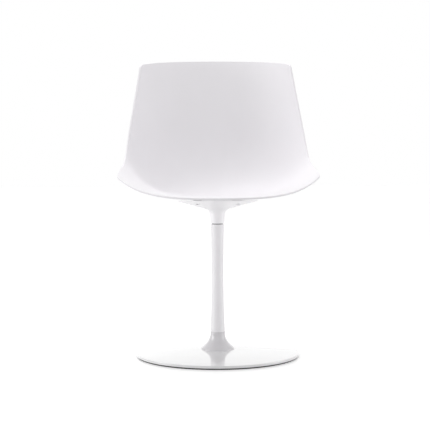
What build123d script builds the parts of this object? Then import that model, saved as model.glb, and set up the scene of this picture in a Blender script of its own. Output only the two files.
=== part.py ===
"""Swivel dining chair: a moulded tub shell on a waisted column and a round floor disc.

Millimetres. The origin is on the floor, on the column's axis. Z points up, and the sitter faces -Y.
"""

import os
from math import cos, radians, sin, sqrt

from build123d import *

os.makedirs("parts", exist_ok=True)

# ---------------------------------------------------------------- driving dimensions

# Moulded shell: the sitting side, as stations from the front lip (first) to the top of the back (last).
# Each station has a control point on the centre line (y, z) and one on the right-hand rim (x, y, z).
shell_thickness = 5.0
shell_stations = [
    ((-262, 437), (264, -125, 487)),
    ((-220, 436), (260, -92, 499)),
    ((-128, 431), (253, -44, 510)),
    ((8, 425), (247, 0, 521)),
    ((152, 413), (243, 31, 545)),
    ((210, 490), (235, 56, 605)),
    ((226, 612), (222, 82, 680)),
    ((246, 735), (211, 101, 748)),
    ((257, 799.5), (205, 110, 784)),
]
# How full a cross section is, at the lip and at the top: the reach of the flat middle, the reach of the
# shoulder, and how far the shoulder has gone back and up, all as fractions of the way to the rim.
lip_fullness = (0.51, 0.775, 0.38, 0.06)
top_fullness = (0.53, 0.90, 0.48, 0.35)
wing_corner_radius = 26.0
top_corner_radius = 14.0
sitting_edge_radius = 0.8
under_edge_radius = 1.5
sheet_columns = 33
sheet_rows = 41
sheet_tolerance = 0.02

# Edges that a hand or a tool meets, and the finer ones on small pieces.
edge_break = 0.8
fine_edge_break = 0.4

# Seat carrier: a casting with an upright stem and a trumpet that leans back with the seat, by the rake
# in degrees. The trumpet's heights are measured along its own axis, from the point that it leans about.
stem_bottom = 354.55
stem_radius = 18.4
stem_top = 371.0
stem_top_radius = 19.75
seat_rake = 3.5
lean_height = 376.5
trumpet_bottom = (20.65, 5.0)
cone_start = (38.0, 18.65)
plate_radius = 109.0
plate_height = 39.3
plate_edge = 1.8
screw_spacing_x = 106.0
screw_spacing_y = 110.0
casting_wall = 3.4
rib_width = 3.0
rib_lines = 4
screw_boss_radius = 11.0
hub_radius = 25.0
hub_pocket_floor = 17.0
pocket_radius = 92.0
pocket_draft = 3.0

# Screw stacks that hold the shell to the carrier.
pad_height = 2.0
pad_radius = 10.0
boss_height = 4.8
boss_radius = 9.5
insert_radius = 4.2
insert_height = 5.5
assembly_clearance = 0.03
screw_radius = 3.0
screw_head_radius = 5.25
screw_head_height = 3.3
screw_head_slope = 2.0
screw_socket_radius = 2.0
screw_socket_depth = 2.0
screw_length = 12.0
counterbore_radius = 6.75
screw_seat_depth = 3.7
screw_washer_radius = 6.2
screw_washer_height = 1.2
clearance_hole = 3.3

# Spindle and its bearings inside the column.
spindle_radius = 10.0
spindle_top = 398.0
spindle_web = 8.0
spindle_recess_radius = 10.0
spindle_tap_radius = 4.0
spindle_bolt_clearance = 0.5
spindle_bolt_length = 25.0
spindle_bolt_head_radius = 6.5
spindle_bolt_head_height = 5.0
spindle_socket_radius = 2.5
spindle_socket_depth = 3.0
spindle_washer_radius = 8.4
spindle_washer_height = 1.6
key_width = 5.0
key_bottom = 379.0
key_top = 391.0
key_reach = 12.3
keyway_depth = 7.5
spindle_step = 206.8
spindle_end = 198.0
spindle_tail_radius = 7.0
running_clearance = 0.04
retaining_washer_radius = 11.6
retaining_washer_height = 2.0
ring_height = 1.2
ring_groove_radius = 6.4
ring_outer_radius = 10.2
ring_opening = 5.0
bore_land_radius = 11.2
bore_land_gap = 3.0
bush_radius = 12.0
bush_flange_radius = 14.5
bush_flange_height = 2.0
upper_bush_length = 40.0
lower_bush_bottom = 207.0
lower_bush_length = 25.0

# Column, collar and floor disc.
column_top = 352.5
column_bottom = 19.0
column_head_radius = 17.5
column_foot_radius = 19.5
spigot_radius = 14.0
collar_top = 65.0
collar_foot_radius = 45.0
collar_foot_inner_radius = 40.0
collar_bore_bottom = 50.0
disc_radius = 218.0
disc_seat = 18.5
disc_seat_radius = 46.5
disc_rim_top = 10.0
disc_underside = 3.6
floor_ring_outer = 214.5
floor_ring_inner = 205.5
floor_ring_depth = 1.0
bolt_recess_radius = 15.0
bolt_recess_top = 12.5
bolt_radius = 5.0
bolt_hole_radius = 5.5
tie_bolt_length = 35.0
tie_bolt_head_height = 6.4
tie_bolt_hexagon_radius = 8.5
tie_washer_radius = 10.0
tie_washer_height = 2.0
lock_washer_radius = 9.0
lock_washer_bore = 5.2
lock_washer_height = 2.2
lock_washer_split = 0.8
plug_height = 30.0
pin_radius = 1.5
pin_offset = 8.6
pin_bottom = 13.5
pin_length = 11.0
disc_edge_radius = 1.2
relief_outer = 196.0
relief_outer_height = 5.6
relief_inner = 62.0
relief_inner_height = 11.5


# ---------------------------------------------------------------- moulded shell


def guide_point(points, along):
    """Point on the smooth guide drawn by its control points, at a fraction of its run (cubic B-spline)."""
    spans = len(points) - 3
    knots = [0] * 3 + list(range(spans + 1)) + [spans] * 3
    place = min(along * spans, spans - 1e-9)
    first = int(place)
    window = list(points[first : first + 4])
    for level in (1, 2, 3):
        for i in range(3, level - 1, -1):
            low = knots[first + i]
            high = knots[first + i + 4 - level]
            share = (place - low) / (high - low)
            window[i] = window[i - 1] * (1 - share) + window[i] * share
    return window[3]


def shell_guides():
    """Centre, inner, shoulder and rim guides of the shell's right half."""
    centre, inner, shoulder, rim = [], [], [], []
    last = len(shell_stations) - 1
    for number, ((centre_y, centre_z), (rim_x, rim_y, rim_z)) in enumerate(shell_stations):
        run = number / last
        blend = run * run * (3 - 2 * run)
        flat, reach, back, up = [
            low + (high - low) * blend for low, high in zip(lip_fullness, top_fullness)
        ]
        centre.append(Vector(0, centre_y, centre_z))
        inner.append(Vector(flat * rim_x, centre_y, centre_z))
        shoulder_y = centre_y + back * (rim_y - centre_y)
        shoulder_z = centre_z + up * (rim_z - centre_z)
        shoulder.append(Vector(reach * rim_x, shoulder_y, shoulder_z))
        rim.append(Vector(rim_x, rim_y, rim_z))
    return centre, inner, shoulder, rim


def shell_point(guides, across, along):
    """Point of the sitting side: across runs from -1 at one rim to 1 at the other, along from lip to top."""
    centre, inner, shoulder, rim = [guide_point(guide, along) for guide in guides]
    t = abs(across)
    point = centre * (1 - t) ** 3 + inner * (3 * t * (1 - t) ** 2)
    point = point + shoulder * (3 * t * t * (1 - t)) + rim * t**3
    side = -1 if across < 0 else 1
    return Vector(side * point.X, point.Y, point.Z)


guides = shell_guides()
sheet_points = [
    [
        shell_point(guides, 2 * column / (sheet_columns - 1) - 1, row / (sheet_rows - 1))
        for column in range(sheet_columns)
    ]
    for row in range(sheet_rows)
]
sitting_side = Face.make_surface_from_array_of_points(
    sheet_points, tol=sheet_tolerance, min_deg=3, max_deg=5
)

# The carrier's trumpet leans back, and the shell stands on its plate.
rake = radians(seat_rake)
leaning_plane = Plane(origin=(0, 0, lean_height), x_dir=(1, 0, 0), z_dir=(0, sin(rake), cos(rake)))
leaning_section = Plane(origin=(0, 0, lean_height), x_dir=(1, 0, 0), z_dir=(0, -cos(rake), sin(rake)))
leaning_axis = Axis(leaning_plane.origin, leaning_plane.z_dir)
plate_plane = leaning_plane.offset(plate_height)

with BuildPart() as seat_shell:
    thicken(sitting_side, amount=shell_thickness)
    corners = seat_shell.edges().filter_by(lambda edge: edge.length < 2 * shell_thickness)
    fillet(corners.group_by(Axis.Z)[0], radius=wing_corner_radius)
    corners = seat_shell.edges().filter_by(lambda edge: abs(edge.length - shell_thickness) < 0.01)
    fillet(corners.group_by(Axis.Z)[-1], radius=top_corner_radius)
    sheets = seat_shell.faces().sort_by(SortBy.AREA)[-2:].sort_by(Axis.Z)
    fillet(sheets[0].edges(), radius=under_edge_radius)
    sheets = seat_shell.faces().sort_by(SortBy.AREA)[-2:].sort_by(Axis.Z)
    fillet(sheets[1].edges(), radius=sitting_edge_radius)
    # Four bosses under the seat stand on the pads, and each holds a threaded insert.
    with BuildSketch(plate_plane.offset(pad_height)):
        with GridLocations(screw_spacing_x, screw_spacing_y, 2, 2):
            Circle(boss_radius)
    extrude(amount=boss_height)
    with BuildSketch(plate_plane.offset(pad_height)):
        with GridLocations(screw_spacing_x, screw_spacing_y, 2, 2):
            Circle(insert_radius)
    extrude(amount=insert_height, mode=Mode.SUBTRACT)
seat_shell.part.label = "seat_shell"
export_step(seat_shell.part, "parts/seat_shell.step")


# ---------------------------------------------------------------- seat carrier and what it holds


def screw_places():
    """The four screw positions, centred on the axis that the trumpet leans along."""
    return GridLocations(screw_spacing_x, screw_spacing_y, 2, 2)


plate_underside = plate_height - plate_edge
cone_slope = (plate_underside - cone_start[1]) / (plate_radius - cone_start[0])
pocket_edge_floor = cone_start[1] + cone_slope * (pocket_radius - cone_start[0]) + casting_wall
casting_height = lean_height - stem_bottom + plate_height + plate_radius * sin(rake)

with BuildPart() as flare:
    # Solid casting: the upright tapered stem, a short bend, and a leaning trumpet that sweeps out from it
    # into a shallow cone with a thin round edge.
    with BuildSketch(Plane.XZ):
        Polygon(
            (0, stem_bottom),
            (stem_radius, stem_bottom),
            (stem_top_radius, stem_top),
            (0, stem_top),
            align=None,
        )
    revolve(axis=Axis.Z)
    with BuildSketch(Plane.XY.offset(stem_top)):
        Circle(stem_top_radius)
    with BuildSketch(leaning_plane.offset(trumpet_bottom[1])):
        Circle(trumpet_bottom[0])
    loft(ruled=True)
    with BuildSketch(leaning_section):
        with BuildLine():
            Line((0, trumpet_bottom[1]), trumpet_bottom)
            Bezier(trumpet_bottom, (21.6, 11.5), (29.0, 16.2), cone_start)
            Line(cone_start, (plate_radius, plate_underside))
            Line((plate_radius, plate_underside), (plate_radius, plate_height))
            Line((plate_radius, plate_height), (0, plate_height))
            Line((0, plate_height), (0, trumpet_bottom[1]))
        make_face()
    revolve(axis=leaning_axis)
    rims = flare.edges().filter_by(GeomType.CIRCLE)
    fillet(rims.filter_by(lambda edge: abs(edge.radius - plate_radius) < 0.01), radius=edge_break)
    fillet(flare.edges().group_by(Axis.Z)[0], radius=edge_break)

with BuildPart() as pocket:
    # Hollow of the hidden top side: an even wall round the hub, less the ribs and the screw bosses.
    with BuildSketch(leaning_section):
        Polygon(
            (hub_radius, plate_height),
            (hub_radius, hub_pocket_floor),
            (cone_start[0], cone_start[1] + casting_wall),
            (pocket_radius, pocket_edge_floor),
            (pocket_radius + pocket_draft, plate_height),
            align=None,
        )
    revolve(axis=leaning_axis)
    with BuildSketch(plate_plane):
        with PolarLocations(0, rib_lines, angular_range=180):
            Rectangle(2 * plate_radius, rib_width)
        with screw_places():
            Circle(screw_boss_radius)
    extrude(amount=-casting_height, mode=Mode.SUBTRACT)

with BuildPart() as seat_carrier:
    add(flare.part)
    add(pocket.part, mode=Mode.SUBTRACT)
    # Blind socket for the spindle, its keyway, and the recess for the spindle bolt above it.
    with BuildSketch(Plane.XY.offset(stem_bottom)):
        Circle(spindle_radius + running_clearance)
    extrude(amount=spindle_top - stem_bottom, mode=Mode.SUBTRACT)
    with BuildSketch(Plane.XY.offset(stem_bottom)):
        with Locations((0, spindle_radius)):
            Rectangle(key_width + 2 * assembly_clearance, 2 * (key_reach - spindle_radius))
    extrude(amount=key_top - stem_bottom, mode=Mode.SUBTRACT)
    with BuildSketch(Plane.XY.offset(spindle_top)):
        Circle(spindle_tap_radius + spindle_bolt_clearance)
    extrude(amount=spindle_web, mode=Mode.SUBTRACT)
    with BuildSketch(Plane.XY.offset(spindle_top + spindle_web)):
        Circle(spindle_recess_radius)
    extrude(amount=casting_height, mode=Mode.SUBTRACT)
    # Screw holes, with the heads sunk into the sloping underside.
    with BuildSketch(plate_plane):
        with screw_places():
            Circle(clearance_hole)
    extrude(amount=-casting_height, mode=Mode.SUBTRACT)
    with BuildSketch(plate_plane.offset(-screw_seat_depth)):
        with screw_places():
            Circle(counterbore_radius)
    extrude(amount=-casting_height, mode=Mode.SUBTRACT)
seat_carrier.part.label = "seat_carrier"
export_step(seat_carrier.part, "parts/seat_carrier.step")

retaining_washer_bottom = spindle_step - retaining_washer_height
ring_groove_bottom = retaining_washer_bottom - ring_height

with BuildPart() as spindle:
    # Ground steel pin: full diameter through both bushes, then a thinner tail with a ring groove.
    with BuildSketch(Plane.XY.offset(spindle_end)):
        Circle(spindle_tail_radius)
    extrude(amount=spindle_step - spindle_end)
    with BuildSketch(Plane.XY.offset(spindle_step)):
        Circle(spindle_radius)
    extrude(amount=spindle_top - spindle_step)
    chamfer(spindle.edges().group_by(Axis.Z)[0], length=edge_break)
    chamfer(spindle.edges().group_by(Axis.Z)[-1], length=edge_break)
    with BuildSketch(Plane.XY.offset(ring_groove_bottom)):
        Circle(spindle_radius)
        Circle(ring_groove_radius, mode=Mode.SUBTRACT)
    extrude(amount=ring_height, mode=Mode.SUBTRACT)
    # Tapped hole for the spindle bolt, and the seat of the key.
    with BuildSketch(Plane.XY.offset(spindle_top)):
        Circle(spindle_tap_radius)
    extrude(amount=-spindle_bolt_length, mode=Mode.SUBTRACT)
    with BuildSketch(Plane.XY.offset(key_bottom)):
        with Locations((0, spindle_radius)):
            Rectangle(key_width + 2 * assembly_clearance, 2 * (spindle_radius - keyway_depth))
    extrude(amount=key_top - key_bottom, mode=Mode.SUBTRACT)
spindle.part.label = "spindle"
export_step(spindle.part, "parts/spindle.step")

with BuildPart() as spindle_key:
    with BuildSketch(Plane.XY.offset(key_bottom)):
        with Locations((0, (keyway_depth + key_reach) / 2)):
            Rectangle(key_width, key_reach - keyway_depth)
    extrude(amount=key_top - key_bottom)
    chamfer(spindle_key.edges().filter_by(Axis.Z), length=fine_edge_break)
spindle_key.part.label = "spindle_key"
export_step(spindle_key.part, "parts/spindle_key.step")

spindle_washer_bottom = spindle_top + spindle_web
spindle_head_bottom = spindle_washer_bottom + spindle_washer_height

with BuildPart() as spindle_washer:
    with BuildSketch(Plane.XY.offset(spindle_washer_bottom)):
        Circle(spindle_washer_radius)
        Circle(spindle_tap_radius + spindle_bolt_clearance, mode=Mode.SUBTRACT)
    extrude(amount=spindle_washer_height)
spindle_washer.part.label = "spindle_washer"
export_step(spindle_washer.part, "parts/spindle_washer.step")

with BuildPart() as spindle_bolt:
    # Low-head socket bolt that draws the spindle up into the hub.
    with BuildSketch(Plane.XY.offset(spindle_head_bottom)):
        Circle(spindle_tap_radius - assembly_clearance)
    extrude(amount=-spindle_bolt_length)
    chamfer(spindle_bolt.edges().group_by(Axis.Z)[0], length=edge_break)
    with BuildSketch(Plane.XY.offset(spindle_head_bottom)):
        Circle(spindle_bolt_head_radius)
    extrude(amount=spindle_bolt_head_height)
    chamfer(spindle_bolt.edges().group_by(Axis.Z)[-1], length=fine_edge_break)
    with BuildSketch(Plane.XY.offset(spindle_head_bottom + spindle_bolt_head_height)):
        RegularPolygon(radius=spindle_socket_radius, side_count=6, major_radius=False)
    extrude(amount=-spindle_socket_depth, mode=Mode.SUBTRACT)
spindle_bolt.part.label = "spindle_bolt"
export_step(spindle_bolt.part, "parts/spindle_bolt.step")

with BuildPart() as retaining_washer:
    # Sits under the spindle's step, and stops the seat lifting off by meeting the lower bush.
    with BuildSketch(Plane.XY.offset(retaining_washer_bottom)):
        Circle(retaining_washer_radius)
        Circle(spindle_tail_radius + assembly_clearance, mode=Mode.SUBTRACT)
    extrude(amount=retaining_washer_height)
retaining_washer.part.label = "retaining_washer"
export_step(retaining_washer.part, "parts/retaining_washer.step")

with BuildPart() as retaining_ring:
    # Open snap ring in the spindle's groove.
    with BuildSketch(Plane.XY.offset(ring_groove_bottom)):
        Circle(ring_outer_radius)
        Circle(ring_groove_radius + assembly_clearance, mode=Mode.SUBTRACT)
        with Locations((0, -ring_outer_radius)):
            Rectangle(ring_opening, ring_outer_radius, mode=Mode.SUBTRACT)
    extrude(amount=ring_height - assembly_clearance)
retaining_ring.part.label = "retaining_ring"
export_step(retaining_ring.part, "parts/retaining_ring.step")


# ---------------------------------------------------------------- screw stacks between shell and carrier

with BuildPart() as shell_pads:
    # Pale plastic washers between the casting and the shell's bosses.
    with BuildSketch(plate_plane):
        with screw_places():
            Circle(pad_radius)
        with screw_places():
            Circle(clearance_hole, mode=Mode.SUBTRACT)
    extrude(amount=pad_height)
shell_pads.part.label = "shell_pads"
export_step(shell_pads.part, "parts/shell_pads.step")

with BuildPart() as threaded_inserts:
    with BuildSketch(plate_plane.offset(pad_height)):
        with screw_places():
            Circle(insert_radius - assembly_clearance)
        with screw_places():
            Circle(screw_radius + assembly_clearance, mode=Mode.SUBTRACT)
    extrude(amount=insert_height)
threaded_inserts.part.label = "threaded_inserts"
export_step(threaded_inserts.part, "parts/threaded_inserts.step")

screw_head_top = plate_plane.offset(-screw_seat_depth - screw_washer_height)

with BuildPart() as screw_washers:
    with BuildSketch(screw_head_top):
        with screw_places():
            Circle(screw_washer_radius)
        with screw_places():
            Circle(clearance_hole, mode=Mode.SUBTRACT)
    extrude(amount=screw_washer_height)
screw_washers.part.label = "screw_washers"
export_step(screw_washers.part, "parts/screw_washers.step")

with BuildPart() as seat_screws:
    # Button-head socket screws, driven upwards from under the casting.
    with BuildSketch(screw_head_top):
        with screw_places():
            Circle(screw_radius)
    extrude(amount=screw_length)
    with BuildSketch(screw_head_top):
        with screw_places():
            Circle(screw_head_radius)
    extrude(amount=-screw_head_height)
    head_faces = seat_screws.faces().filter_by(GeomType.PLANE).sort_by(leaning_axis)[:4]
    chamfer(head_faces.edges(), length=screw_head_slope)
    with BuildSketch(screw_head_top.offset(-screw_head_height)):
        with screw_places():
            RegularPolygon(radius=screw_socket_radius, side_count=6, major_radius=False)
    extrude(amount=screw_socket_depth, mode=Mode.SUBTRACT)
seat_screws.part.label = "seat_screws"
export_step(seat_screws.part, "parts/seat_screws.step")


# ---------------------------------------------------------------- column and its bearings

bore_shoulder = lower_bush_bottom + lower_bush_length
upper_bush_bottom = column_top - upper_bush_length

with BuildPart() as column:
    # Waisted tube, turned down to a spigot below the collar's top.
    with BuildSketch(Plane.XZ):
        with BuildLine():
            Spline(
                (column_foot_radius, collar_top),
                (18.1, 96.0),
                (17.05, 128.0),
                (16.0, 193.0),
                (15.7, 241.0),
                (16.2, 295.0),
                (column_head_radius, column_top),
            )
            Line((column_head_radius, column_top), (bush_radius, column_top))
            Line((bush_radius, column_top), (bush_radius, column_bottom))
            Line((bush_radius, column_bottom), (spigot_radius, column_bottom))
            Line((spigot_radius, column_bottom), (spigot_radius, collar_top))
            Line((spigot_radius, collar_top), (column_foot_radius, collar_top))
        make_face()
    revolve(axis=Axis.Z)
    # A land inside the bore stops the lower bush from moving up.
    with BuildSketch(Plane.XY.offset(bore_shoulder)):
        Circle(bush_radius)
        Circle(bore_land_radius, mode=Mode.SUBTRACT)
    extrude(amount=upper_bush_bottom - bore_land_gap - bore_shoulder)
    top_edges = column.edges().filter_by(GeomType.CIRCLE).group_by(Axis.Z)[-1]
    fillet(top_edges.sort_by(SortBy.RADIUS)[-1], radius=edge_break)
column.part.label = "column"
export_step(column.part, "parts/column.step")

with BuildPart() as upper_bush:
    # Flanged bearing bush: its dark flange is the line seen between the column and the seat carrier.
    with BuildSketch(Plane.XY.offset(upper_bush_bottom)):
        Circle(bush_radius - assembly_clearance)
    extrude(amount=upper_bush_length)
    with BuildSketch(Plane.XY.offset(column_top)):
        Circle(bush_flange_radius)
    extrude(amount=bush_flange_height)
    with BuildSketch(Plane.XY.offset(upper_bush_bottom)):
        Circle(spindle_radius + running_clearance)
    extrude(amount=upper_bush_length + bush_flange_height, mode=Mode.SUBTRACT)
    chamfer(upper_bush.edges().group_by(Axis.Z)[0], length=fine_edge_break)
upper_bush.part.label = "upper_bush"
export_step(upper_bush.part, "parts/upper_bush.step")

with BuildPart() as lower_bush:
    with BuildSketch(Plane.XY.offset(lower_bush_bottom)):
        Circle(bush_radius - assembly_clearance)
        Circle(spindle_radius + running_clearance, mode=Mode.SUBTRACT)
    extrude(amount=lower_bush_length)
    chamfer(lower_bush.edges().group_by(Axis.Z)[0], length=fine_edge_break)
lower_bush.part.label = "lower_bush"
export_step(lower_bush.part, "parts/lower_bush.step")

with BuildPart() as column_plug:
    # Tapped plug pressed and welded into the column's foot, for the tie bolt.
    with BuildSketch(Plane.XY.offset(column_bottom)):
        Circle(bush_radius - assembly_clearance)
        Circle(bolt_radius + assembly_clearance, mode=Mode.SUBTRACT)
        with Locations((pin_offset, 0)):
            Circle(pin_radius + assembly_clearance, mode=Mode.SUBTRACT)
    extrude(amount=plug_height)
column_plug.part.label = "column_plug"
export_step(column_plug.part, "parts/column_plug.step")


# ---------------------------------------------------------------- collar, floor disc and their fixings

collar_bore_radius = spigot_radius + assembly_clearance

with BuildPart() as foot_collar:
    # Trumpet-shaped casting that hides the joint: it slides over the spigot and stands on the disc.
    with BuildSketch(Plane.XZ):
        with BuildLine():
            Line((collar_bore_radius, collar_top), (column_foot_radius, collar_top))
            Spline(
                (column_foot_radius, collar_top),
                (19.8, 56.0),
                (22.6, 45.3),
                (29.3, 34.5),
                (38.7, 25.5),
                (44.3, 20.4),
                tangents=((0, -1), (0.7, -0.7)),
            )
            Line((44.3, 20.4), (collar_foot_radius, disc_seat))
            Line((collar_foot_radius, disc_seat), (collar_foot_inner_radius, disc_seat))
            Spline(
                (collar_foot_inner_radius, disc_seat),
                (29.0, 27.5),
                (20.0, 40.0),
                (collar_bore_radius, collar_bore_bottom),
            )
            Line((collar_bore_radius, collar_bore_bottom), (collar_bore_radius, collar_top))
        make_face()
    revolve(axis=Axis.Z)
    fillet(foot_collar.edges().group_by(Axis.Z)[-1].sort_by(SortBy.RADIUS)[-1], radius=fine_edge_break)
foot_collar.part.label = "foot_collar"
export_step(foot_collar.part, "parts/foot_collar.step")

# The disc's top is part of a large sphere that runs from the collar's seat down to the rim.
rise = disc_seat - disc_rim_top
dome_centre = (disc_seat + disc_rim_top) / 2 - (disc_radius**2 - disc_seat_radius**2) / (2 * rise)
dome_radius = sqrt(disc_radius**2 + (disc_rim_top - dome_centre) ** 2)
dome_middle = (disc_radius + disc_seat_radius) / 2
dome_middle_height = dome_centre + sqrt(dome_radius**2 - dome_middle**2)

with BuildPart() as base_disc:
    with BuildSketch(Plane.XZ):
        with BuildLine():
            ThreePointArc(
                (disc_seat_radius, disc_seat),
                (dome_middle, dome_middle_height),
                (disc_radius, disc_rim_top),
            )
            Polyline(
                (disc_radius, disc_rim_top),
                (disc_radius, disc_underside),
                (floor_ring_outer, disc_underside),
                (floor_ring_outer, disc_underside + floor_ring_depth),
                (floor_ring_inner, disc_underside + floor_ring_depth),
                (floor_ring_inner, disc_underside),
                (relief_outer, disc_underside),
                (relief_outer, relief_outer_height),
                (relief_inner, relief_inner_height),
                (relief_inner, disc_underside),
                (bolt_recess_radius, disc_underside),
                (bolt_recess_radius, bolt_recess_top),
                (bolt_hole_radius, bolt_recess_top),
                (bolt_hole_radius, disc_seat),
                (disc_seat_radius, disc_seat),
            )
        make_face()
    revolve(axis=Axis.Z)
    circles = base_disc.edges().filter_by(GeomType.CIRCLE)
    outer_edges = circles.filter_by(lambda edge: abs(edge.radius - disc_radius) < 0.01)
    fillet(outer_edges.sort_by(Axis.Z)[-1], radius=disc_edge_radius)
    fillet(outer_edges.sort_by(Axis.Z)[0], radius=disc_edge_radius / 2)
    with BuildSketch(Plane.XY.offset(pin_bottom)):
        with Locations((pin_offset, 0)):
            Circle(pin_radius + assembly_clearance)
    extrude(amount=disc_seat - pin_bottom, mode=Mode.SUBTRACT)
base_disc.part.label = "base_disc"
export_step(base_disc.part, "parts/base_disc.step")

with BuildPart() as floor_ring:
    with BuildSketch():
        Circle(floor_ring_outer - assembly_clearance)
        Circle(floor_ring_inner + assembly_clearance, mode=Mode.SUBTRACT)
    extrude(amount=disc_underside + floor_ring_depth)
    fillet(floor_ring.edges().group_by(Axis.Z)[0], radius=fine_edge_break)
floor_ring.part.label = "floor_ring"
export_step(floor_ring.part, "parts/floor_ring.step")

tie_washer_bottom = bolt_recess_top - tie_washer_height
lock_washer_bottom = tie_washer_bottom - lock_washer_height

with BuildPart() as tie_washer:
    with BuildSketch(Plane.XY.offset(tie_washer_bottom)):
        Circle(tie_washer_radius)
        Circle(bolt_hole_radius, mode=Mode.SUBTRACT)
    extrude(amount=tie_washer_height)
tie_washer.part.label = "tie_washer"
export_step(tie_washer.part, "parts/tie_washer.step")

with BuildPart() as lock_washer:
    # Split spring washer, drawn flat as it is when the bolt is tight.
    with BuildSketch(Plane.XY.offset(lock_washer_bottom)):
        Circle(lock_washer_radius)
        Circle(lock_washer_bore, mode=Mode.SUBTRACT)
        with Locations((lock_washer_radius, 0)):
            Rectangle(lock_washer_radius, lock_washer_split, rotation=20, mode=Mode.SUBTRACT)
    extrude(amount=lock_washer_height)
lock_washer.part.label = "lock_washer"
export_step(lock_washer.part, "parts/lock_washer.step")

with BuildPart() as tie_bolt:
    # Hexagon bolt from under the disc that clamps disc, collar and column together.
    with BuildSketch(Plane.XY.offset(lock_washer_bottom)):
        Circle(bolt_radius)
    extrude(amount=tie_bolt_length)
    chamfer(tie_bolt.edges().group_by(Axis.Z)[-1], length=edge_break)
    with BuildSketch(Plane.XY.offset(lock_washer_bottom)):
        RegularPolygon(radius=tie_bolt_hexagon_radius, side_count=6, major_radius=False)
    extrude(amount=-tie_bolt_head_height)
tie_bolt.part.label = "tie_bolt"
export_step(tie_bolt.part, "parts/tie_bolt.step")

with BuildPart() as locating_pin:
    # Dowel that stops the column from turning on the disc.
    with BuildSketch(Plane.XY.offset(pin_bottom)):
        with Locations((pin_offset, 0)):
            Circle(pin_radius)
    extrude(amount=pin_length)
    chamfer(locating_pin.edges().filter_by(GeomType.CIRCLE), length=fine_edge_break)
locating_pin.part.label = "locating_pin"
export_step(locating_pin.part, "parts/locating_pin.step")
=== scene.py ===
"""White swivel dining chair in a plain pale studio.

Metres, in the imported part's frame: the floor is z = 0, the column stands on the Z axis, and the
sitter faces -Y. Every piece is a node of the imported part. This script gives each node its finish,
and sets up the studio.
"""

import math

import bmesh
import bpy
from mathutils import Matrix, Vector

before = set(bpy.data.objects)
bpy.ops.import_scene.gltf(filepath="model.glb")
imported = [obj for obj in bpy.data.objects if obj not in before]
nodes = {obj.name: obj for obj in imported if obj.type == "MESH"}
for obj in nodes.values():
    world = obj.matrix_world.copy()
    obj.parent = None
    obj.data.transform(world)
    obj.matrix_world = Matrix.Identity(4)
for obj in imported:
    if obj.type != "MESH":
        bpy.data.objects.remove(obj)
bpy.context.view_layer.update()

# ---------------------------------------------------------------- values

# A key lamp high behind the left wing, one overhead, one at each side and a wide one behind:
# place, point looked at, and width and height, all in metres, and then watts.
LAMPS = {
    "key_lamp": ((-0.42, 0.5, 2.2), (0, 0.1, 0.44), (0.35, 0.35), 7.4),
    "overhead_lamp": ((0.0, -0.1, 2.3), (0, 0, 0.4), (0.5, 0.5), 7.6),
    "left_lamp": ((-2.4, -0.3, 0.7), (0, 0, 0.5), (1.2, 1.2), 16.0),
    "right_lamp": ((2.4, -0.3, 0.55), (0, 0, 0.4), (1.2, 1.0), 10.0),
    "back_lamp": ((0.0, 2.6, 0.8), (0, 0, 0.8), (3.2, 1.6), 3.2),
}
WORLD_LEVEL = 0.73  # light from all round, where 1 is the white that is seen

FLOOR_HALF_SIZE = 9.0
FLOOR_TONE = 0.8
FLOOR_ROUGHNESS = 0.35
FLOOR_LIFT = 0.3  # added where the floor is seen, to take it to white beside the shadow

# The photograph's camera: metres, degrees, the photograph's pixels, and parts of its width.
CAMERA_DISTANCE = 3.7
CAMERA_HEIGHT = 0.64
CAMERA_SIDE = -1.8
CAMERA_ROLL = 0.2
CAMERA_CLIP_END = 100.0
SENSOR_WIDTH = 36.0
PHOTO_WIDTH = 430
FOCAL_PIXELS = 1378.0
SHIFT_X = -0.0047
SHIFT_Y = -0.228

# Paints: lightness of each, and the slight lavender tint and drift that they share. Carrier, column
# and collar are one white paint: the carrier's lighter tone is painted light, and the collar's
# darker tone is painted shade near the floor.
CARRIER_PAINTED_LIGHT_TONE = 0.945
COLUMN_TONE = 0.86
COLLAR_PAINTED_SHADE_TONE = 0.65
PAINT_TINT = (0.0, -0.014, 0.006)
PAINT_DRIFT = 0.008

# Bare metals: depth of the lathe rings and size of the tarnish patches, in metres.
RING_DEPTH = 0.000006
TARNISH_SIZE = 0.006

# Shared effects: the part of each noise that shows, and how its pattern is laid.
CLOUD_RANGE = (0.3, 0.7)
RUB_RANGE = (0.62, 0.74)  # only the noise's highest parts show as marks
RUB_TURN = (0.3, 0.2, 0.5)
RUB_STRETCH = (1.0, 0.06, 1.0)
CELL_SOFTNESS = 0.6
COARSE_SCALE = 0.21  # makes the larger unevenness about five times as wide as the cells

# ---------------------------------------------------------------- shared surface effects


def new_effect(name, inputs, outputs):
    """Empty node group, the sockets that come into it and the sockets that it puts out."""
    group = bpy.data.node_groups.new(name, "ShaderNodeTree")
    for label, kind, value in inputs:
        socket = group.interface.new_socket(label, in_out="INPUT", socket_type=kind)
        if value is not None:
            socket.default_value = value
    for label in outputs:
        group.interface.new_socket(label, in_out="OUTPUT", socket_type="NodeSocketFloat")
    source = group.nodes.new("NodeGroupInput")
    result = group.nodes.new("NodeGroupOutput")
    return group, source.outputs, result.inputs


def feed(tree, socket, value):
    """Sets a socket to a plain number, or links it to the socket that gives its value."""
    if isinstance(value, float):
        socket.default_value = value
    else:
        tree.links.new(value, socket)


def add_math(tree, operation, *values):
    """Works on sockets and plain numbers, and gives the socket that the result comes out of."""
    node = tree.nodes.new("ShaderNodeMath")
    node.operation = operation
    for socket, value in zip(node.inputs, values):
        feed(tree, socket, value)
    return node.outputs[0]


def add_range(tree, value, old=(0.0, 1.0), new=(0.0, 1.0)):
    """Takes a socket's values from an old range to a new one, and gives the socket they leave."""
    node = tree.nodes.new("ShaderNodeMapRange")
    tree.links.new(value, node.inputs["Value"])
    for label, limit in zip(("From Min", "From Max", "To Min", "To Max"), (*old, *new)):
        feed(tree, node.inputs[label], limit)
    return node.outputs["Result"]


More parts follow.
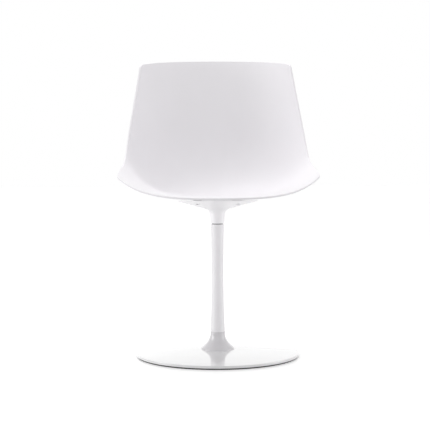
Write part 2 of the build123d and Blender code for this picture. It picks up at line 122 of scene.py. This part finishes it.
def add_texture(tree, kind, vector, scale, **values):
    """Texture over a vector, at a scale that another socket gives, with its own values."""
    texture = tree.nodes.new(kind)
    tree.links.new(vector, texture.inputs["Vector"])
    tree.links.new(scale, texture.inputs["Scale"])
    for label, value in values.items():
        texture.inputs[label].default_value = value
    return texture


def cloudy_effect():
    """Slow, uneven change over a surface, between two values."""
    group, source, result = new_effect(
        "cloudy_change",
        [
            ("Vector", "NodeSocketVector", None),
            ("Size", "NodeSocketFloat", 0.1),
            ("Low", "NodeSocketFloat", 0.0),
            ("High", "NodeSocketFloat", 1.0),
        ],
        ["Value"],
    )
    scale = add_math(group, "DIVIDE", 1.0, source["Size"])
    noise = add_texture(
        group, "ShaderNodeTexNoise", source["Vector"], scale, Detail=3.0, Roughness=0.55
    )
    limits = (source["Low"], source["High"])
    value = add_range(group, noise.outputs["Fac"], old=CLOUD_RANGE, new=limits)
    group.links.new(value, result["Value"])
    return group


def grain_effect():
    """Fine pebbled grain: small round cells with a softer, larger unevenness under them."""
    group, source, result = new_effect(
        "fine_grain",
        [
            ("Vector", "NodeSocketVector", None),
            ("Size", "NodeSocketFloat", 0.001),
            ("Depth", "NodeSocketFloat", 0.00001),
        ],
        ["Height"],
    )
    scale = add_math(group, "DIVIDE", 1.0, source["Size"])
    cells = add_texture(group, "ShaderNodeTexVoronoi", source["Vector"], scale)
    cells.feature = "SMOOTH_F1"
    cells.inputs["Smoothness"].default_value = CELL_SOFTNESS
    coarse = add_math(group, "MULTIPLY", scale, COARSE_SCALE)
    noise = add_texture(group, "ShaderNodeTexNoise", source["Vector"], coarse, Detail=2.0)
    total = add_math(group, "ADD", cells.outputs["Distance"], noise.outputs["Fac"])
    group.links.new(add_math(group, "MULTIPLY", total, source["Depth"]), result["Height"])
    return group


def turning_effect():
    """Fine rings round the Z axis, as a lathe leaves them, with their pitch in metres."""
    group, source, result = new_effect(
        "turning_rings",
        [
            ("Vector", "NodeSocketVector", None),
            ("Pitch", "NodeSocketFloat", 0.0004),
            ("Depth", "NodeSocketFloat", 0.000004),
        ],
        ["Height", "Mask"],
    )
    link = group.links.new
    split = group.nodes.new("ShaderNodeSeparateXYZ")
    link(source["Vector"], split.inputs[0])
    x, y, z = split.outputs
    squares = add_math(group, "MULTIPLY_ADD", y, y, add_math(group, "MULTIPLY", x, x))
    run = add_math(group, "ADD", add_math(group, "SQRT", squares), z)
    noise = group.nodes.new("ShaderNodeTexNoise")
    noise.noise_dimensions = "1D"
    noise.inputs["Scale"].default_value = 1.0
    noise.inputs["Detail"].default_value = 4.0
    link(add_math(group, "DIVIDE", run, source["Pitch"]), noise.inputs["W"])
    height = add_math(group, "MULTIPLY", noise.outputs["Fac"], source["Depth"])
    link(height, result["Height"])
    link(noise.outputs["Fac"], result["Mask"])
    return group


def scuff_effect():
    """Thin faint rub marks that run mostly one way, as a mask from 0 to 1."""
    group, source, result = new_effect(
        "rub_marks",
        [
            ("Vector", "NodeSocketVector", None),
            ("Size", "NodeSocketFloat", 0.02),
            ("Amount", "NodeSocketFloat", 0.5),
        ],
        ["Mask"],
    )
    stretch = group.nodes.new("ShaderNodeMapping")
    stretch.inputs["Rotation"].default_value = RUB_TURN
    stretch.inputs["Scale"].default_value = RUB_STRETCH
    group.links.new(source["Vector"], stretch.inputs["Vector"])
    lines = add_texture(
        group,
        "ShaderNodeTexNoise",
        stretch.outputs["Vector"],
        add_math(group, "DIVIDE", 1.0, source["Size"]),
        Detail=5.0,
        Roughness=0.7,
        Distortion=0.4,
    )
    sharp = add_range(group, lines.outputs["Fac"], old=RUB_RANGE)
    mask = add_math(group, "MULTIPLY", sharp, source["Amount"])
    group.links.new(mask, result["Mask"])
    return group


CLOUDY = cloudy_effect()
GRAIN = grain_effect()
TURNING = turning_effect()
SCUFFS = scuff_effect()


# ---------------------------------------------------------------- finishes


def start_finish(name):
    """New material with its shader, and object coordinates to read patterns from."""
    material = bpy.data.materials.new(name)
    material.use_nodes = True
    tree = material.node_tree
    shader = tree.nodes["Principled BSDF"]
    place = tree.nodes.new("ShaderNodeTexCoord")
    return material, tree, shader, place.outputs["Object"]


def add_effect(tree, group, vector, **values):
    """Places a shared effect in a material, with its own values, and gives what it puts out."""
    node = tree.nodes.new("ShaderNodeGroup")
    node.node_tree = group
    tree.links.new(vector, node.inputs["Vector"])
    for label, value in values.items():
        node.inputs[label].default_value = value
    return node.outputs


def add_drifting_colour(tree, shader, vector, low, high, size):
    """Base colour that drifts between two, in patches of a given size."""
    mix = tree.nodes.new("ShaderNodeMix")
    mix.data_type = "RGBA"
    mix.inputs["A"].default_value = (*low, 1.0)
    mix.inputs["B"].default_value = (*high, 1.0)
    patches = add_effect(tree, CLOUDY, vector, Size=size)
    tree.links.new(patches["Value"], mix.inputs["Factor"])
    tree.links.new(mix.outputs["Result"], shader.inputs["Base Color"])


def add_relief(tree, shader, height):
    """Small relief on a shader, from a height in metres."""
    bump = tree.nodes.new("ShaderNodeBump")
    bump.inputs["Strength"].default_value = 1.0
    bump.inputs["Distance"].default_value = 1.0
    tree.links.new(height, bump.inputs["Height"])
    tree.links.new(bump.outputs["Normal"], shader.inputs["Normal"])


def two_tone_finish(name, low, high, colour_size, rough, rough_size, grain, rubs=None):
    """Finish whose colour and roughness drift a little, with a fine grain and faint rub marks.

    grain is the size and depth of its cells, and rubs the size and amount of the marks.
    """
    material, tree, shader, place = start_finish(name)
    add_drifting_colour(tree, shader, place, low, high, colour_size)
    drift = add_effect(tree, CLOUDY, place, Size=rough_size, Low=rough[0], High=rough[1])
    roughness = drift["Value"]
    if rubs:
        marks = add_effect(tree, SCUFFS, place, Size=rubs[0], Amount=rubs[1])
        roughness = add_math(tree, "ADD", roughness, marks["Mask"])
    tree.links.new(roughness, shader.inputs["Roughness"])
    pebbles = add_effect(tree, GRAIN, place, Size=grain[0], Depth=grain[1])
    add_relief(tree, shader, pebbles["Height"])
    return material, shader


def moulded_plastic():
    """Dull white moulded plastic with a very fine spark-eroded grain."""
    material, shader = two_tone_finish(
        "moulded_white_plastic",
        low=(0.815, 0.8, 0.822),
        high=(0.835, 0.82, 0.842),
        colour_size=0.22,
        rough=(0.5, 0.58),
        rough_size=0.06,
        grain=(0.0007, 0.000006),
        rubs=(0.05, 0.05),
    )
    shader.inputs["IOR"].default_value = 1.49
    shader.inputs["Specular IOR Level"].default_value = 0.15
    return material


def powder_paint(name, tone, gloss):
    """White powder coat with a soft orange peel, at a given lightness and clear gloss."""
    material, shader = two_tone_finish(
        name,
        low=[tone + part - PAINT_DRIFT for part in PAINT_TINT],
        high=[tone + part + PAINT_DRIFT for part in PAINT_TINT],
        colour_size=0.09,
        rough=(0.34, 0.4),
        rough_size=0.03,
        grain=(0.0016, 0.000003),
        rubs=(0.03, 0.03),
    )
    shader.inputs["Coat Weight"].default_value = gloss
    shader.inputs["Coat Roughness"].default_value = 0.08
    return material


def gloss_lacquer():
    """Deep gloss white lacquer of the floor disc."""
    material, shader = two_tone_finish(
        "gloss_white_lacquer",
        low=(0.735, 0.732, 0.74),
        high=(0.755, 0.752, 0.76),
        colour_size=0.15,
        rough=(0.04, 0.07),
        rough_size=0.05,
        grain=(0.006, 0.0000015),
        rubs=(0.04, 0.02),
    )
    shader.inputs["Coat Weight"].default_value = 1.0
    shader.inputs["Coat Roughness"].default_value = 0.03
    shader.inputs["Coat IOR"].default_value = 1.6
    return material


def black_rubber():
    """Matt black rubber with a dusty bloom."""
    material, shader = two_tone_finish(
        "black_rubber",
        low=(0.018, 0.018, 0.019),
        high=(0.035, 0.034, 0.034),
        colour_size=0.02,
        rough=(0.6, 0.8),
        rough_size=0.008,
        grain=(0.0008, 0.00003),
    )
    shader.inputs["Specular IOR Level"].default_value = 0.35
    return material


def pad_plastic():
    """Pale, matt plastic of the washers between casting and shell."""
    material, shader = two_tone_finish(
        "pale_pad_plastic",
        low=(0.78, 0.78, 0.77),
        high=(0.82, 0.82, 0.81),
        colour_size=0.008,
        rough=(0.45, 0.6),
        rough_size=0.004,
        grain=(0.0005, 0.000008),
    )
    shader.inputs["IOR"].default_value = 1.48
    return material


def bearing_plastic():
    """Dark, waxy bearing plastic."""
    material, shader = two_tone_finish(
        "bearing_plastic",
        low=(0.03, 0.03, 0.032),
        high=(0.045, 0.045, 0.048),
        colour_size=0.01,
        rough=(0.3, 0.42),
        rough_size=0.006,
        grain=(0.0005, 0.000008),
    )
    shader.inputs["IOR"].default_value = 1.48
    return material


def turned_metal(name, low, high, rough, pitch):
    """Bare metal with lathe rings and a little uneven tarnish."""
    material, tree, shader, place = start_finish(name)
    add_drifting_colour(tree, shader, place, low, high, TARNISH_SIZE)
    rings = add_effect(tree, TURNING, place, Pitch=pitch, Depth=RING_DEPTH)
    tree.links.new(add_range(tree, rings["Mask"], new=rough), shader.inputs["Roughness"])
    add_relief(tree, shader, rings["Height"])
    shader.inputs["Metallic"].default_value = 1.0
    return material


def set_finish(material, *names):
    """Gives CAD nodes a finish."""
    for name in names:
        slots = nodes[name].data.materials
        slots.clear()
        slots.append(material)


def finish_painted_and_moulded():
    """Shell, paints, lacquer, rubber and plastics."""
    set_finish(moulded_plastic(), "seat_shell")
    # The carrier's paint is lighter than the column's: painted light.
    set_finish(powder_paint("carrier_paint_with_painted_light", CARRIER_PAINTED_LIGHT_TONE, gloss=0.1), "seat_carrier")
    set_finish(powder_paint("column_powder_paint", COLUMN_TONE, gloss=0.3), "column")
    # The collar's paint is darker than the column's: painted shade near the floor.
    set_finish(powder_paint("collar_paint_with_painted_shade", COLLAR_PAINTED_SHADE_TONE, gloss=1.0), "foot_collar")
    set_finish(gloss_lacquer(), "base_disc")
    set_finish(black_rubber(), "floor_ring")
    set_finish(pad_plastic(), "shell_pads")
    set_finish(bearing_plastic(), "upper_bush", "lower_bush")


def finish_bare_metal():
    """Shafts and plug in ground steel, fasteners zinc plated, springs blued, inserts of brass."""
    ground = turned_metal(
        "ground_steel",
        low=(0.56, 0.57, 0.58),
        high=(0.64, 0.65, 0.66),
        rough=(0.16, 0.3),
        pitch=0.0003,
    )
    set_finish(ground, "spindle", "column_plug", "spindle_key", "locating_pin")
    zinc = turned_metal(
        "zinc_plated_steel",
        low=(0.5, 0.52, 0.55),
        high=(0.66, 0.68, 0.7),
        rough=(0.25, 0.42),
        pitch=0.0006,
    )
    set_finish(zinc, "seat_screws", "screw_washers", "tie_bolt", "tie_washer")
    set_finish(zinc, "spindle_bolt", "spindle_washer", "retaining_washer")
    spring = turned_metal(
        "blued_spring_steel",
        low=(0.09, 0.1, 0.12),
        high=(0.16, 0.17, 0.19),
        rough=(0.3, 0.5),
        pitch=0.0005,
    )
    set_finish(spring, "retaining_ring", "lock_washer")
    brass = turned_metal(
        "turned_brass",
        low=(0.72, 0.52, 0.24),
        high=(0.82, 0.62, 0.32),
        rough=(0.2, 0.35),
        pitch=0.0004,
    )
    set_finish(brass, "threaded_inserts")


# ---------------------------------------------------------------- studio


def seen_directly(tree):
    """Socket that is 1 for what the camera, a mirror or glass sees, and 0 for light on things."""
    rays = tree.nodes.new("ShaderNodeLightPath").outputs
    mirrored = add_math(tree, "MAXIMUM", rays["Is Camera Ray"], rays["Is Glossy Ray"])
    return add_math(tree, "MAXIMUM", mirrored, rays["Is Transmission Ray"])


def pale_floor():
    """Wide pale floor that keeps the chair's shadow and looks white where nothing shades it."""
    bm = bmesh.new()
    bmesh.ops.create_grid(bm, x_segments=2, y_segments=2, size=FLOOR_HALF_SIZE)
    mesh = bpy.data.meshes.new("floor")
    bm.to_mesh(mesh)
    bm.free()
    floor = bpy.data.objects.new("floor", mesh)
    bpy.context.scene.collection.objects.link(floor)
    material = bpy.data.materials.new("pale_floor")
    material.use_nodes = True
    tree = material.node_tree
    shader = tree.nodes["Principled BSDF"]
    shader.inputs["Base Color"].default_value = (FLOOR_TONE, FLOOR_TONE, FLOOR_TONE, 1.0)
    shader.inputs["Roughness"].default_value = FLOOR_ROUGHNESS
    shader.inputs["Emission Color"].default_value = (1.0, 1.0, 1.0, 1.0)
    lift = add_math(tree, "MULTIPLY", seen_directly(tree), FLOOR_LIFT)
    tree.links.new(lift, shader.inputs["Emission Strength"])
    floor.data.materials.append(material)


def pale_world():
    """Even surroundings: white where they are seen, at a plain level where they give light."""
    world = bpy.data.worlds.new("pale_studio")
    bpy.context.scene.world = world
    world.use_nodes = True
    tree = world.node_tree
    sky = tree.nodes["Background"]
    sky.inputs["Color"].default_value = (1.0, 1.0, 1.0, 1.0)
    level = add_range(tree, seen_directly(tree), new=(WORLD_LEVEL, 1.0))
    tree.links.new(level, sky.inputs["Strength"])


def soft_lamp(name, place, target, size, watts):
    """Rectangular soft lamp that looks at a point and isn't seen itself."""
    data = bpy.data.lights.new(name, "AREA")
    data.shape = "RECTANGLE"
    data.size, data.size_y = size
    data.energy = watts
    lamp = bpy.data.objects.new(name, data)
    aim = Vector(target) - Vector(place)
    lamp.rotation_euler = aim.to_track_quat("-Z", "Y").to_euler()
    lamp.location = place
    lamp.visible_camera = False
    bpy.context.scene.collection.objects.link(lamp)


def photo_camera():
    """Level camera at the photograph's distance, height and side."""
    data = bpy.data.cameras.new("camera")
    data.sensor_fit = "HORIZONTAL"
    data.sensor_width = SENSOR_WIDTH
    data.lens = FOCAL_PIXELS / PHOTO_WIDTH * SENSOR_WIDTH
    data.shift_x = SHIFT_X
    data.shift_y = SHIFT_Y
    data.clip_end = CAMERA_CLIP_END
    camera = bpy.data.objects.new("camera", data)
    side = math.radians(CAMERA_SIDE)
    camera.location = (
        math.sin(side) * CAMERA_DISTANCE,
        -math.cos(side) * CAMERA_DISTANCE,
        CAMERA_HEIGHT,
    )
    camera.rotation_mode = "XYZ"
    camera.rotation_euler = (math.radians(90), math.radians(CAMERA_ROLL), side)
    bpy.context.scene.collection.objects.link(camera)
    bpy.context.scene.camera = camera


finish_painted_and_moulded()
finish_bare_metal()
pale_floor()
pale_world()
for lamp_name, lamp_values in LAMPS.items():
    soft_lamp(lamp_name, *lamp_values)
photo_camera()
bpy.context.scene.view_settings.view_transform = "Standard"
